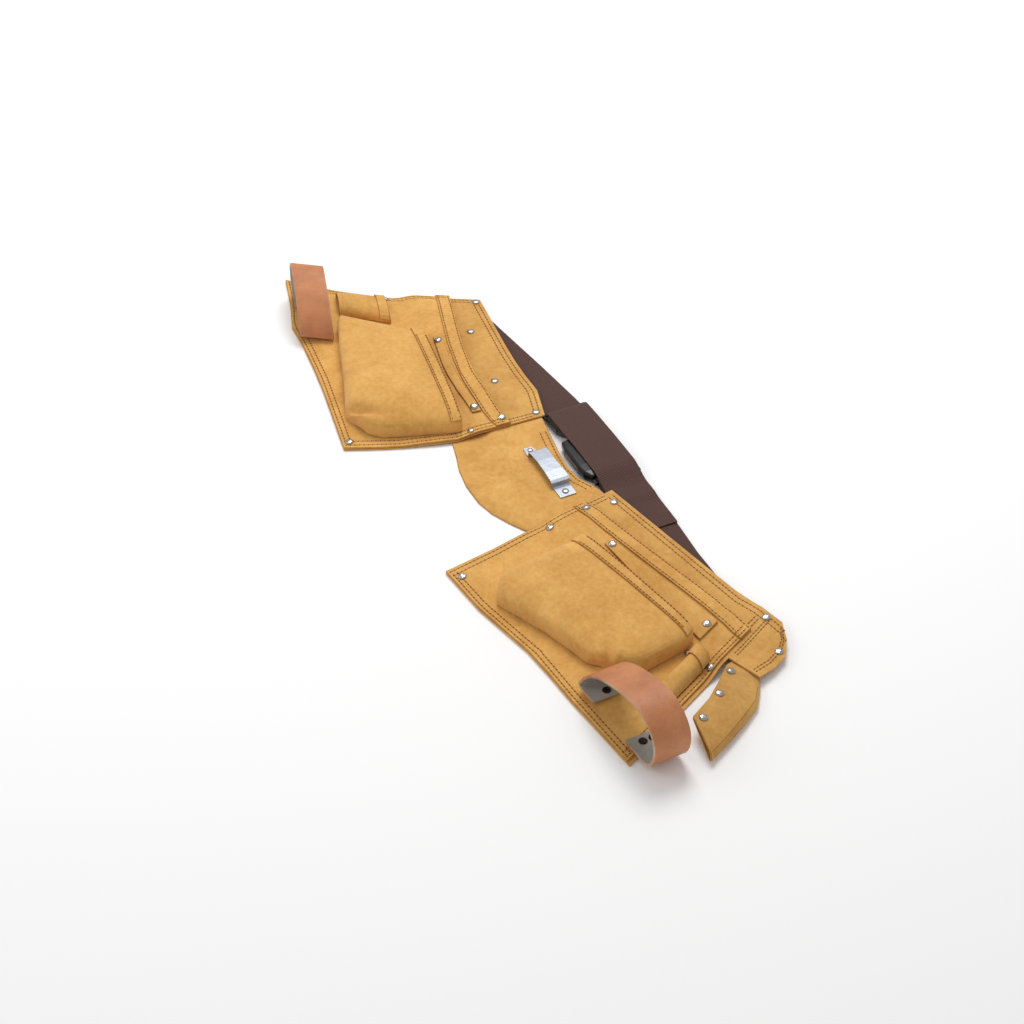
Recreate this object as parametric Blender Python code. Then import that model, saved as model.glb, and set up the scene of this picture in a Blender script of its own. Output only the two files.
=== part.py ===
"""Carpenter's nail apron lying face up: two leather pouches, a bib between them and a webbing belt."""

import math

import bpy
import numpy as np
from mathutils import Matrix, Vector
from mathutils.bvhtree import BVHTree

# Sizes are in millimetres here and turned into metres when a mesh is made.
MM = 0.001

# Leather, webbing and clearances
PANEL_THICK = 2.0
POCKET_THICK = 1.8
STRIP_THICK = 1.6
HEM_THICK = 1.6
LOOP_THICK = 3.0
WEB_THICK = 1.6
WEB_WIDE = 49.0
GAP = 0.3

# Heights of the layers at the waist
TUNNEL_UNDER = 2.0
WAIST_UNDER = 6.0
BIB_WAIST_UNDER = 4.0
BIB_THICK = 1.6
WAIST_ZONE_END = 0.335
WAIST_SLOPE_END = 0.46

# Pockets
MAIN_PUFF = 4.5
MAIN_MOUTH_PUFF = 3.5
HEM_SHARE = 0.075
NAIL_HIGH = 24.0
NAIL_POWER = 5.5
NAIL_HEM_ROWS = 3
NAIL_SEAT = 0.8
STRIP_SEAT = 0.6
STRIP_WIDE = 0.045
TOOL_SEAT = 0.6
TOOL_LOOP_HIGH = 12.0
BAND_LIFT = 2.5

# Rivets
RIVET_RADIUS = 4.7
RIVET_HIGH = 2.0
SMALL_RIVET_RADIUS = 4.0
LOOP_RIVET_RADIUS = 4.6
LOOP_RIVET_HIGH = 1.2
CLIP_RIVET_RADIUS = 3.2
CLIP_EYELET_RADIUS = 4.0
RIVET_SIDES = 10

# Shares of the way across a pouch and down it where every layer has its sections
ACROSS = (0.0, 0.04, 0.10, 0.20, 0.32, 0.45, 0.58, 0.70, 0.81, 0.90, 0.96, 1.0)
DOWN_WAIST = (0.0, 0.04, 0.10, 0.18, 0.27, 0.30)
DOWN_REST = (0.335, 0.365, 0.395, 0.425, 0.46, 0.54, 0.63, 0.72, 0.81, 0.90, 0.97, 1.0)

# Each pouch: corners on the table, then tables over the share down (inner and outer edge) or across.
# The waist table says how far down the waist edge bows there.
EDGE_COLUMNS = ("down", "inner", "outer")
OFFSET_COLUMNS = ("across", "down")
NAIL_COLUMNS = ("share", "inner across", "inner down", "outer across", "outer down")
STRIP_COLUMNS = ("across", "bottom")
TOOL_COLUMNS = ("share", "inner across", "outer across", "down")
RIVET_COLUMNS = ("name", "piece", "across", "down", "radius")
POUCH_A = {
    "corners": {
        "waist_in": (-72, -5),
        "waist_out": (-304, 22),
        "foot_out": (-448, -173),
        "foot_in": (-114, -230),
    },
    "waist": ((0.0, 0.0), (0.2, -0.03), (0.35, -0.01), (0.5, 0.0), (1.0, 0.0)),
    "edges": (
        (0.0, 0.0, 1.0),
        (0.25, -0.033, 0.97),
        (0.47, -0.05, 0.95),
        (0.75, -0.02, 0.965),
        (1.0, 0.02, 1.01),
    ),
    "mouth": (
        (0.0, 0.18), (0.07, 0.21), (0.2, 0.235), (0.37, 0.25), (0.59, 0.23), (0.92, 0.175), (1.0, 0.16),
    ),
    "foot": ((0.0, 1.0), (0.4, 1.0), (0.6, 1.02), (0.72, 1.045), (0.85, 1.01), (1.0, 0.99)),
    "nail": (
        (0.0, -0.01, 0.42, 0.60, 0.41),
        (0.3, -0.005, 0.57, 0.66, 0.57),
        (0.6, 0.012, 0.73, 0.73, 0.75),
        (0.85, 0.06, 0.86, 0.68, 0.79),
        (1.0, 0.16, 0.94, 0.54, 0.84),
    ),
    "strip": ((0.07, 0.335), (0.33, 0.375), (0.60, 0.36)),
    "tool": ((0.0, 0.735, 0.905, 0.52), (0.5, 0.755, 0.905, 0.64), (1.0, 0.775, 0.905, 0.76)),
    "hammer": {
        "base": (-326, -199),
        "run_deg": 165.0,
        "width_deg": 54.0,
        "wide": 40.0,
        "tall": 0.84,
        "long": 0.72,
    },
    "rivets": (
        ("waist_outer", "back_panel_a", 0.97, 0.03, 4.7),
        ("waist_middle", "back_panel_a", 0.70, 0.14, 4.7),
        ("waist_inner", "back_panel_a", 0.30, 0.16, 4.7),
        ("corner", "back_panel_a", 0.03, 0.04, 4.7),
        ("strip_outer", "slot_strip_a", 0.572, 0.345, 4.7),
        ("strip_inner", "slot_strip_a", 0.095, 0.325, 4.7),
        ("hem_end", "main_pocket_hem_a", 0.012, 0.215, 4.7),
        ("pocket_side", "main_pocket_a", -0.024, 0.385, 4.0),
        ("foot", "main_pocket_a", 0.045, 0.965, 4.7),
        ("tool_loop", "main_pocket_a", 0.928, 0.50, 4.0),
    ),
}
POUCH_B = {
    "corners": {
        "waist_in": (76, 3),
        "waist_out": (318, 54),
        "foot_out": (434, -168),
        "foot_in": (112, -210),
    },
    "waist": ((0.0, 0.0), (0.85, 0.0), (0.95, -0.02), (1.09, -0.025), (1.2, 0.0)),
    "edges": ((0.0, 0.0, 1.0), (0.3, 0.0, 1.0), (0.6, 0.0, 1.0), (1.0, 0.0, 1.0)),
    "mouth": ((0.0, 0.165), (0.2, 0.175), (0.45, 0.16), (0.7, 0.14), (1.0, 0.125)),
    "foot": ((0.0, 1.0), (0.2, 1.005), (0.48, 0.965), (0.7, 0.98), (1.0, 0.985)),
    "nail": (
        (0.0, 0.205, 0.385, 0.862, 0.37),
        (0.3, 0.185, 0.55, 0.868, 0.48),
        (0.6, 0.165, 0.72, 0.85, 0.60),
        (0.85, 0.18, 0.85, 0.775, 0.705),
        (1.0, 0.235, 0.925, 0.645, 0.825),
    ),
    "strip": ((0.27, 0.305), (0.55, 0.335), (0.885, 0.345)),
    "tool": ((0.0, 0.897, 0.966, 0.385), (0.5, 0.897, 0.966, 0.52), (1.0, 0.897, 0.966, 0.66)),
    "hammer": {
        "base": (330, -164),
        "run_deg": 5.5,
        "width_deg": 92.0,
        "wide": 40.0,
        "tall": 1.05,
        "long": 0.97,
    },
    "rivets": (
        ("corner", "back_panel_b", 0.07, 0.05, 4.7),
        ("hem_end", "main_pocket_hem_b", 0.05, 0.207, 4.7),
        ("pocket_side", "main_pocket_b", 0.04, 0.42, 4.7),
        ("foot", "main_pocket_b", 0.055, 0.955, 4.7),
        ("strip_inner", "slot_strip_b", 0.297, 0.281, 4.7),
        ("strip_outer", "slot_strip_b", 0.86, 0.265, 4.7),
        ("band_upper", "back_panel_b", 1.01, 0.03, 4.7),
        ("band_lower", "back_panel_b", 1.16, 0.11, 4.7),
        ("tool_inner", "main_pocket_b", 0.879, 0.42, 4.0),
        ("tool_outer", "main_pocket_b", 0.985, 0.395, 3.9),
    ),
}

# Waist band past pouch B, as how far across it reaches at each share down
BAND_END_COLUMNS = ("down", "across")
BAND_END = (
    (0.0, 1.08), (0.04, 1.15), (0.10, 1.195), (0.18, 1.19), (0.27, 1.17), (0.30, 1.016), (1.0, 1.012),
)
BAND_CELLS = 3

# Profile of a hammer loop from its inner foot over the top and back under to the outer lap
HAMMER_COLUMNS = ("along", "up")
HAMMER_PROFILE = (
    (25, 1.0), (14, 1.0), (4, 1.2), (-2, 4.5), (2, 11), (14, 26), (32, 39), (55, 49), (78, 56), (98, 59),
    (114, 56), (126, 48), (133, 37), (134, 25), (131, 13), (124, 4.5), (114, 1.6), (100, 1.0), (84, 1.0),
)
HAMMER_RIVETS = (("foot", 17.5, 0.0), ("lap_near", 93.0, -5.6), ("lap_far", 93.0, 5.6))
HAMMER_INSIDE = 26.0

# Bib sections from left to right: top edge, then bottom edge
BIB_COLUMNS = ("top x", "top y", "bottom x", "bottom y")
BIB = (
    (-80, -8.5, -90, -112),
    (-68, -9, -76, -117),
    (-50, -12, -56, -122),
    (-30, -15, -33, -129),
    (-5, -19, -5, -133),
    (20, -21, 25, -132.5),
    (42, -18, 48, -127),
    (58, -10, 70, -117),
    (70, -6.5, 86, -108),
    (82, -5.5, 99, -98),
)
BIB_DOWN = (0.0, 0.06, 0.25, 0.49, 0.54, 0.59, 0.64, 0.70, 0.85, 1.0)
BIB_ZONE = (0.54, 0.70)

# Belt centre line: place, height of its middle, heading of its length in degrees from across
BELT_COLUMNS = ("x", "y", "z", "heading")
BELT_SEWN_END = ((92, 21.3, 2.7, 0), (68, 21, 2.8, 0), (61.5, 21, 4.6, 0), (58.9, 21, 7.0, 0))
BELT_FEMALE_FOLD = (
    (55, 21, 8.1, 0), (51.4, 21, 7.2, 0), (50.2, 21, 5.0, 0), (51.4, 21, 2.2, 0), (55, 21, 0.9, 0),
)
BELT_BACK_RIGHT = (
    (100, 21, 0.8, 0), (147, 20, 0.8, -1), (200, 17, 0.8, 1), (248, 17.5, 0.8, 4), (300, 21, 0.8, 8),
    (345, 26.5, 0.8, 15), (360, 29.3, 0.8, 19),
)
BELT_RIGHT_FOLD = ((363.5, 30.4, 1.2, 20), (365, 30.9, 2.8, 20), (363.5, 30.4, 4.4, 20))
BELT_FRONT = (
    (360, 29.3, 4.8, 19), (345, 27, 4.8, 16), (325, 24, 4.8, 12), (250, 9, 4.8, 12), (160, -10, 4.8, 12),
    (118, -19, 4.8, 13), (92, -26, 2.8, 15), (70, -33, 2.8, 14), (40, -42, 2.8, 8), (10, -46, 2.8, 2),
    (-25, -45, 2.8, -5), (-60, -39, 2.8, -9), (-86, -35, 3.0, -8), (-108, -32, 4.8, -7),
    (-200, -19, 4.8, -7), (-304, -6, 4.8, -7),
)
BELT_LEFT_FOLD = ((-308, -5.6, 4.4, -4), (-309.7, -5.9, 2.8, 2), (-308, -7, 1.2, 7), (-304, -9, 0.8, 8))
BELT_BACK_LEFT = ((-240, -1, 0.8, 8), (-160, 10, 0.8, 7), (-90, 18.5, 0.8, 5))
BELT_MALE_FOLD = (
    (-76, 19.6, 0.9, 2), (-71.6, 20, 2.2, 0), (-70.2, 20, 5.0, 0), (-70.0, 20, 8.5, 0), (-68.6, 20, 11.2, 0),
    (-65, 20, 12.6, 0),
)
BELT_TAIL = (
    (-40, 20.5, 13.2, 0), (0, 21, 13.8, 0), (45, 21.5, 13.2, -1), (50, 21.5, 12.3, -1), (56, 21.5, 10.4, -1),
    (62, 21.4, 8.2, -1), (68, 21.3, 6.2, -1), (74, 21.2, 4.9, -1), (78, 21.2, 4.72, -1), (94, 21.2, 4.7, -1),
    (104, 21, 2.95, -1), (110, 21, 2.75, -1), (147, 20.5, 2.75, -1),
)
BELT = (
    BELT_SEWN_END + BELT_FEMALE_FOLD + BELT_BACK_RIGHT + BELT_RIGHT_FOLD + BELT_FRONT
    + BELT_LEFT_FOLD + BELT_BACK_LEFT + BELT_MALE_FOLD + BELT_TAIL
)

# Buckle bodies: each row is a section across the belt
BUCKLE_COLUMNS = ("x", "middle y", "half width", "under", "over")
BUCKLE_FEMALE = (
    (-19, 15.5, 22, 1.6, 10.4),
    (-17, 15.5, 27, 1.0, 11.6),
    (-6, 15.5, 29.5, 0.6, 12.0),
    (12, 15.5, 30, 0.4, 12.2),
    (28, 15.5, 30, 0.4, 12.2),
    (40, 17, 30, 0.5, 11.8),
    (47, 19.8, 28.6, 0.6, 10.8),
    (49, 20.5, 27.8, 1.0, 9.8),
)
BUCKLE_MALE = (
    (-66, 20, 26.6, 1.0, 9.8),
    (-62, 20, 26.8, 0.6, 11.0),
    (-50, 19, 25.5, 0.5, 11.6),
    (-42, 19, 25.0, 0.5, 11.6),
    (-36, 18, 21, 0.8, 11.0),
    (-32, 18, 18, 1.6, 10.2),
    (-19.5, 18, 17, 2.0, 9.6),
)
BUCKLE_CORNER = 2.6
SHARP_DEG = 40.0

# Bar frames at the outer ends of the buckle: bar from and to, heights, half width outside and inside, middle
FRAME_MALE = {"bar": (-76.6, -73.4), "under": 3.0, "over": 5.6, "half": 26.6, "slot": 24.9, "middle": 20.0}
FRAME_FEMALE = {"bar": (53.2, 57.0), "under": 2.6, "over": 6.6, "half": 27.8, "slot": 25.3, "middle": 20.8}

# Tape clip: where its steel strip runs over the bib
CLIP_COLUMNS = ("along", "up", "half width", "aside")
CLIP_PROFILE = (
    (-45, 0.0, 5.0, -5.0),
    (-33, 0.0, 7.0, -4.0),
    (-31, 0.8, 8.5, -2.0),
    (-30, 6.0, 10.0, -1.0),
    (-28, 7.4, 10.5, 0.0),
    (-10, 8.0, 9.6, 0.0),
    (10, 8.0, 10.2, 0.0),
    (25, 7.6, 11.0, 0.0),
    (28, 6.4, 11.0, 0.0),
    (28.8, 1.2, 10.4, 0.0),
    (31, 0.0, 9.6, 0.0),
    (47, 0.0, 9.6, 0.0),
)
CLIP_THICK = 1.2
CLIP_MIDDLE = (15.5, -42.5)
CLIP_RIVETS = (("rivet", -24.0, -46.6, CLIP_RIVET_RADIUS), ("eyelet", 55.0, -42.5, CLIP_EYELET_RADIUS))

# Square holder: sleeve of doubled leather, open at the left edge between its rivets and at both ends
HOLDER_COLUMNS = ("left x", "left y", "left z", "right x", "right y", "right high")
HOLDER = (
    (358, 1.5, 3.2, 391, 4.5, 4.2),
    (361, -11, 5.6, 406, -4, 5.6),
    (368, -21, 12.0, 424, -17, 8.5),
    (387, -40, 15.5, 438, -38, 10.5),
    (405, -61, 17.5, 451, -60, 11.0),
    (421, -88, 19.0, 468, -93, 11.5),
)
HOLDER_THICK = 1.8
HOLDER_LAYERS = 2.1
HOLDER_FOOT = 1.1
HOLDER_BULGE = 1.5
HOLDER_SHARES = (0.0, 0.16, 0.35, 0.56, 0.76, 0.92)
HOLDER_RIVETS = (("upper", 378.0, -21.0), ("middle", 403.0, -48.0), ("lower", 426.0, -79.0))


def smooth(value):
    """Eased step from 0 to 1."""
    value = min(max(value, 0.0), 1.0)
    return value * value * (3.0 - 2.0 * value)


def look_up(rows, at, column=1):
    """Straight-line reading of a table by its first column."""
    return float(np.interp(at, [row[0] for row in rows], [row[column] for row in rows]))


def turned(degrees):
    """Unit vector on the table at this angle from +X."""
    angle = math.radians(degrees)
    return np.array([math.cos(angle), math.sin(angle)])


def clear_scene():
    for old in list(bpy.data.objects):
        bpy.data.objects.remove(old, do_unlink=True)


def make_material(name, colour, rough, metal=0.0):
    made = bpy.data.materials.new(name)
    made.use_nodes = True
    shader = made.node_tree.nodes["Principled BSDF"]
    linear = [((c + 0.055) / 1.055) ** 2.4 if c > 0.04045 else c / 12.92 for c in colour]
    shader.inputs["Base Color"].default_value = (*linear, 1.0)
    shader.inputs["Roughness"].default_value = rough
    shader.inputs["Metallic"].default_value = metal
    made.diffuse_color = (*linear, 1.0)
    return made


def make_object(name, points, faces, material, rounded=True):
    """One closed mesh in metres, its faces turned outward."""
    mesh = bpy.data.meshes.new(name)
    mesh.from_pydata([tuple(float(c) * MM for c in point) for point in points], [], faces)
    mesh.validate()
    volume = 0.0
    mesh.calc_loop_triangles()
    for triangle in mesh.loop_triangles:
        a, b, c = (mesh.vertices[i].co for i in triangle.vertices)
        volume += a.dot(b.cross(c))
    if volume < 0:
        mesh.flip_normals()
    mesh.shade_smooth()
    if not rounded:
        mesh.set_sharp_from_angle(angle=math.radians(SHARP_DEG))
    mesh.materials.append(material)
    made = bpy.data.objects.new(name, mesh)
    bpy.context.scene.collection.objects.link(made)
    return made


def make_shell(name, lower, upper, material):
    """Closed shell between two grids of points that match row by row."""
    rows, columns = lower.shape[:2]
    points = np.concatenate([lower.reshape(-1, 3), upper.reshape(-1, 3)])
    over = rows * columns

    def at(i, j):
        return i * columns + j

    faces = []
    for i in range(rows - 1):
        for j in range(columns - 1):
            corners = [at(i, j), at(i, j + 1), at(i + 1, j + 1), at(i + 1, j)]
            faces.append(corners)
            faces.append([over + k for k in reversed(corners)])
    rim = [at(0, j) for j in range(columns)]
    rim += [at(i, columns - 1) for i in range(1, rows)]
    rim += [at(rows - 1, j) for j in range(columns - 2, -1, -1)]
    rim += [at(i, 0) for i in range(rows - 2, 0, -1)]
    for here, following in zip(rim, rim[1:] + rim[:1]):
        faces.append([following, here, over + here, over + following])
    return make_object(name, points, faces, material)


def grid_normals(middle):
    """Unit normals of a grid of points, turned to point up or outward from its rows' order."""
    along = np.gradient(middle, axis=0)
    across = np.gradient(middle, axis=1)
    normal = np.cross(across, along)
    return normal / np.maximum(np.linalg.norm(normal, axis=2, keepdims=True), 1e-9)


def make_sheet(name, middle, thick, material):
    """Leather of even thickness about a grid of middle points."""
    normal = grid_normals(middle)
    return make_shell(name, middle - normal * thick / 2, middle + normal * thick / 2, material)


def make_layer(name, under, thick, material):
    """Leather laid flat: its underside is a grid and its top lies straight above."""
    over = under.copy()
    over[:, :, 2] += thick
    return make_shell(name, under, over, material)


def make_ribbon(name, centres, sides, thick, material):
    """Strap along a line of centres: sides holds the vector from the centre to the strap's edge."""
    middle = np.stack([centres - sides, centres, centres + sides], axis=1)
    return make_sheet(name, middle, thick, material)


# Places on a pouch


def across_at(pouch, share, down):
    inner = look_up(pouch["edges"], down, 1)
    outer = look_up(pouch["edges"], down, 2)
    return inner + (outer - inner) * share


def place(pouch, across, down):
    """Point on the table at these shares of a pouch."""
    corner = {name: np.array(at, float) for name, at in pouch["corners"].items()}
    waist = corner["waist_in"] * (1 - across) + corner["waist_out"] * across
    foot = corner["foot_in"] * (1 - across) + corner["foot_out"] * across
    down = down * (1 + (look_up(pouch["foot"], across) - 1) * smooth(down))
    down = down + look_up(pouch["waist"], across) * (1 - smooth(down / WAIST_ZONE_END))
    return waist * (1 - down) + foot * down


def panel_under(across, down):
    """Height of a pouch panel's underside: over the belt, then on the bib's edge or the table."""
    waist = 1 - smooth((down - WAIST_ZONE_END) / (WAIST_SLOPE_END - WAIST_ZONE_END))
    over_bib = (BIB_THICK + 0.5) * (1 - smooth((across - 0.07) / 0.10)) * (1 - smooth((down - 0.56) / 0.16))
    band = BAND_LIFT * smooth((across - 0.97) / 0.06) * smooth((down - 0.14) / 0.13)
    return over_bib + (WAIST_UNDER + band - over_bib) * waist


def main_under(pouch, across, down):
    """Height of the main pocket's underside."""
    mouth = look_up(pouch["mouth"], across)
    share = (down - mouth) / (1 - mouth)
    side = smooth(min(across - pouch["edges"][0][1], 1 - across) / 0.16)
    puff = MAIN_PUFF * smooth((1 - share) / 0.22)
    puff += MAIN_MOUTH_PUFF * (1 - smooth(share / 0.30))
    return panel_under(across, down) + PANEL_THICK + GAP + puff * side


def main_over(pouch, across, down):
    return main_under(pouch, across, down) + POCKET_THICK


def panel_grid(pouch, with_band):
    rows = []
    for down in DOWN_WAIST + DOWN_REST:
        row = []
        for share in ACROSS:
            across = across_at(pouch, share, down)
            row.append((*place(pouch, across, down), panel_under(across, down)))
        if with_band:
            reach = look_up(BAND_END, down)
            edge = across_at(pouch, 1.0, down)
            for cell in range(1, BAND_CELLS + 1):
                across = edge + (reach - edge) * cell / BAND_CELLS
                row.append((*place(pouch, across, down), panel_under(across, down)))
        rows.append(row)
    return np.array(rows)


def main_downs(pouch, across):
    mouth = look_up(pouch["mouth"], across)
    return (mouth, mouth + HEM_SHARE / 2, mouth + HEM_SHARE) + DOWN_REST


def main_grid(pouch, first, last, height):
    """Grid over the main pocket's rows from first to last, at a height given by a function."""
    rows = []
    for number in range(first, last):
        row = []
        for share in ACROSS:
            down = main_downs(pouch, share)[number]
            across = across_at(pouch, share, down)
            row.append((*place(pouch, across, down), height(pouch, across, down)))
        rows.append(row)
    return np.array(rows)


def hem_under(pouch, across, down):
    return main_over(pouch, across, down) + GAP


def nail_middle(pouch, sides=18, ends=11):
    """Middle surface of the boxed nail pocket: an arch across that closes down to its foot."""
    power = 2.0 / NAIL_POWER
    rows = []
    for i in range(ends + 1):
        angle = math.pi / 2 * i / ends
        share = math.sin(angle) ** power
        if i < NAIL_HEM_ROWS:
            share = 0.055 * i
        closing = (1 - share**NAIL_POWER) ** (1 / NAIL_POWER) if share < 1 else 0.0
        inner = np.array([look_up(pouch["nail"], share, 1), look_up(pouch["nail"], share, 2)])
        outer = np.array([look_up(pouch["nail"], share, 3), look_up(pouch["nail"], share, 4)])
        row = []
        for j in range(sides + 1):
            turn = math.pi * j / sides
            swing = -math.copysign(abs(math.cos(turn)) ** power, math.cos(turn))
            rise = max(math.sin(turn), 0.0) ** power
            across, down = inner + (outer - inner) * (swing + 1) / 2
            lift = NAIL_HIGH * rise * closing * (0.86 + 0.14 * smooth(share * 2))
            row.append((*place(pouch, across, down), main_over(pouch, across, down) + NAIL_SEAT + lift))
        rows.append(row)
    return np.array(rows)


def outward(middle):
    """Normals of a grid turned so that the middle of it points up."""
    normal = grid_normals(middle)
    if normal[normal.shape[0] // 2, normal.shape[1] // 2, 2] < 0:
        normal = -normal
    return normal


def make_nail_pocket(tag, pouch, material):
    middle = nail_middle(pouch)
    make_sheet(f"nail_pocket_{tag}", middle, POCKET_THICK, material)
    hem = (middle + outward(middle) * (POCKET_THICK / 2 + GAP + HEM_THICK / 2))[:NAIL_HEM_ROWS]
    ends = slice(2, hem.shape[1] - 2)
    make_sheet(f"nail_pocket_hem_{tag}", hem[:, ends], HEM_THICK, material)


def make_strip(tag, pouch, material):
    """Narrow strip riveted across the main pocket below its hem."""
    rows = []
    for level in (0.0, 0.5, 1.0):
        row = []
        for step in range(9):
            across = pouch["strip"][0][0] + (pouch["strip"][-1][0] - pouch["strip"][0][0]) * step / 8
            top = look_up(pouch["mouth"], across) + HEM_SHARE + 0.012
            bottom = max(look_up(pouch["strip"], across), top + STRIP_WIDE)
            down = top + (bottom - top) * level
            row.append((*place(pouch, across, down), main_over(pouch, across, down) + STRIP_SEAT))
        rows.append(row)
    make_layer(f"slot_strip_{tag}", np.array(rows), STRIP_THICK, material)


def make_tool_loop(tag, pouch, material, cells=10, rows_down=5):
    """Arch of leather on the main pocket, with a hem strip at its mouth."""
    rows = []
    for i in range(rows_down + 1):
        share = i / rows_down
        inner = look_up(pouch["tool"], share, 1)
        outer = look_up(pouch["tool"], share, 2)
        down = look_up(pouch["tool"], share, 3)
        row = []
        for j in range(cells + 1):
            turn = math.pi * j / cells
            swing = -math.copysign(abs(math.cos(turn)) ** 0.8, math.cos(turn))
            across = inner + (outer - inner) * (swing + 1) / 2
            lift = TOOL_LOOP_HIGH * max(math.sin(turn), 0.0) ** 0.9
            row.append((*place(pouch, across, down), main_over(pouch, across, down) + TOOL_SEAT + lift))
        rows.append(row)
    middle = np.array(rows)
    make_sheet(f"tool_loop_{tag}", middle, POCKET_THICK, material)
    hem = middle + outward(middle) * (POCKET_THICK / 2 + GAP + HEM_THICK / 2)
    make_sheet(f"tool_loop_hem_{tag}", hem[:2, 1:-1], HEM_THICK, material)


def make_hammer_loop(tag, pouch, material, dark):
    """Thick strap bent into a ring that stands on the pouch."""
    at = pouch["hammer"]
    run = turned(at["run_deg"]) * at["long"]
    side = turned(at["width_deg"]) * at["wide"] / 2
    base = np.array(at["base"], float) + side
    pieces = [surface(f"{kind}_{tag}") for kind in ("back_panel", "main_pocket")]
    foot = loop_floor(pieces, base, run, side, (2, 26))
    lap = loop_floor(pieces, base, run, side, (84, 124))
    reach = HAMMER_PROFILE[-5][0]
    centres = []
    for along, up in smoothed(HAMMER_PROFILE, 2):
        spot = base + run * along
        floor = foot + (lap - foot) * smooth(along / reach)
        lift = up * at["tall"] if up > 11 else up
        centres.append((*spot, floor + LOOP_THICK / 2 + lift - 0.4))
    sides = np.tile((*side, 0.0), (len(centres), 1))
    make_ribbon(f"hammer_loop_{tag}", np.array(centres), sides, LOOP_THICK, material)
    for name, along, aside in HAMMER_RIVETS:
        spot = base + run * along + side / np.linalg.norm(side) * aside
        head = f"rivet_{tag}_hammer_{name}"
        make_rivet(head, f"hammer_loop_{tag}", spot, LOOP_RIVET_RADIUS, LOOP_RIVET_HIGH, dark, HAMMER_INSIDE)


def loop_floor(pieces, base, run, side, span):
    """Highest leather under one end of a hammer loop."""
    highest = 0.0
    for along in np.linspace(*span, 5):
        for share in (-1.0, -0.5, 0.0, 0.5, 1.0):
            spot = base + run * along + side * share
            for piece in pieces:
                highest = max(highest, height_at(piece, spot, 200.0) or 0.0)
    return highest


def smoothed(rows, cuts):
    """Rows of a table with more points between them along a soft curve."""
    rows = [np.array(row, float) for row in rows]
    ends = [2 * rows[0] - rows[1]] + rows + [2 * rows[-1] - rows[-2]]
    made = []
    for a, b, c, d in zip(ends, ends[1:], ends[2:], ends[3:]):
        for cut in range(cuts):
            t = cut / cuts
            squared = 2 * a - 5 * b + 4 * c - d
            cubed = 3 * b - a - 3 * c + d
            made.append(0.5 * (2 * b + (c - a) * t + squared * t * t + cubed * t**3))
    made.append(rows[-1])
    return made


def make_tunnel(tag, pouch, first, last, material):
    """Strip behind the waist edge that carries the belt."""
    rows = []
    for down in (0.015, 0.14, 0.265):
        row = []
        for step in range(9):
            across = first + (last - first) * step / 8
            row.append((*place(pouch, across, down), TUNNEL_UNDER))
        rows.append(row)
    make_layer(f"belt_tunnel_{tag}", np.array(rows), STRIP_THICK, material)


def bib_point(number, down):
    top_x, top_y, bottom_x, bottom_y = BIB[number]
    spot = np.array([top_x, top_y], float) * (1 - down) + np.array([bottom_x, bottom_y], float) * down
    zone = 1 - smooth((down - BIB_ZONE[0]) / (BIB_ZONE[1] - BIB_ZONE[0]))
    return (*spot, BIB_WAIST_UNDER * zone)


def make_bib(material):
    grid = np.array([[bib_point(number, down) for number in range(len(BIB))] for down in BIB_DOWN])
    make_layer("bib", grid, BIB_THICK, material)
    rows = []
    for down in (0.02, 0.25, 0.49):
        rows.append([(*bib_point(number, down)[:2], 0.0) for number in range(2, len(BIB) - 2)])
    make_layer("belt_tunnel_bib", np.array(rows), STRIP_THICK, material)


def make_belt(material):
    centres = np.array([row[:3] for row in BELT], float)
    sides = []
    for row in BELT:
        heading = turned(row[3] + 90.0)
        sides.append((*(heading * WEB_WIDE / 2), 0.0))
    return make_ribbon("belt", centres, np.array(sides), WEB_THICK, material)


def section_loop(x, middle_y, half, under, over):
    """Rounded rectangle across the belt at one place."""
    corner = min(BUCKLE_CORNER, (over - under) / 2.2)
    loop = []
    for side_y, side_z, start in ((1, 1, 0), (-1, 1, 90), (-1, -1, 180), (1, -1, 270)):
        centre_y = middle_y + side_y * (half - corner)
        centre_z = (over if side_z > 0 else under) - side_z * corner
        for step in range(3):
            angle = math.radians(start + 45 * step)
            loop.append((x, centre_y + corner * math.cos(angle), centre_z + corner * math.sin(angle)))
    return loop


def make_loft(name, loops, material):
    count = len(loops[0])
    points = [point for loop in loops for point in loop]
    faces = []
    for i in range(len(loops) - 1):
        for j in range(count):
            k = (j + 1) % count
            faces.append([i * count + j, i * count + k, (i + 1) * count + k, (i + 1) * count + j])
    faces.append(list(range(count))[::-1])
    last = (len(loops) - 1) * count
    faces.append(list(range(last, last + count)))
    return make_object(name, points, faces, material, rounded=False)


def make_box(name, low, high):
    x0, y0, z0 = low
    x1, y1, z1 = high
    points = [(x, y, z) for x in (x0, x1) for y in (y0, y1) for z in (z0, z1)]
    faces = [[0, 1, 3, 2], [4, 6, 7, 5], [0, 4, 5, 1], [2, 3, 7, 6], [0, 2, 6, 4], [1, 5, 7, 3]]
    return make_object(name, points, faces, None, rounded=False)


def join_by_boolean(target, other, operation):
    """Adds or cuts another mesh and leaves it as a hidden guide."""
    other.hide_render = True
    other.display_type = "WIRE"
    change = target.modifiers.new(other.name, "BOOLEAN")
    change.operation = operation
    change.solver = "EXACT"
    change.object = other


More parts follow.
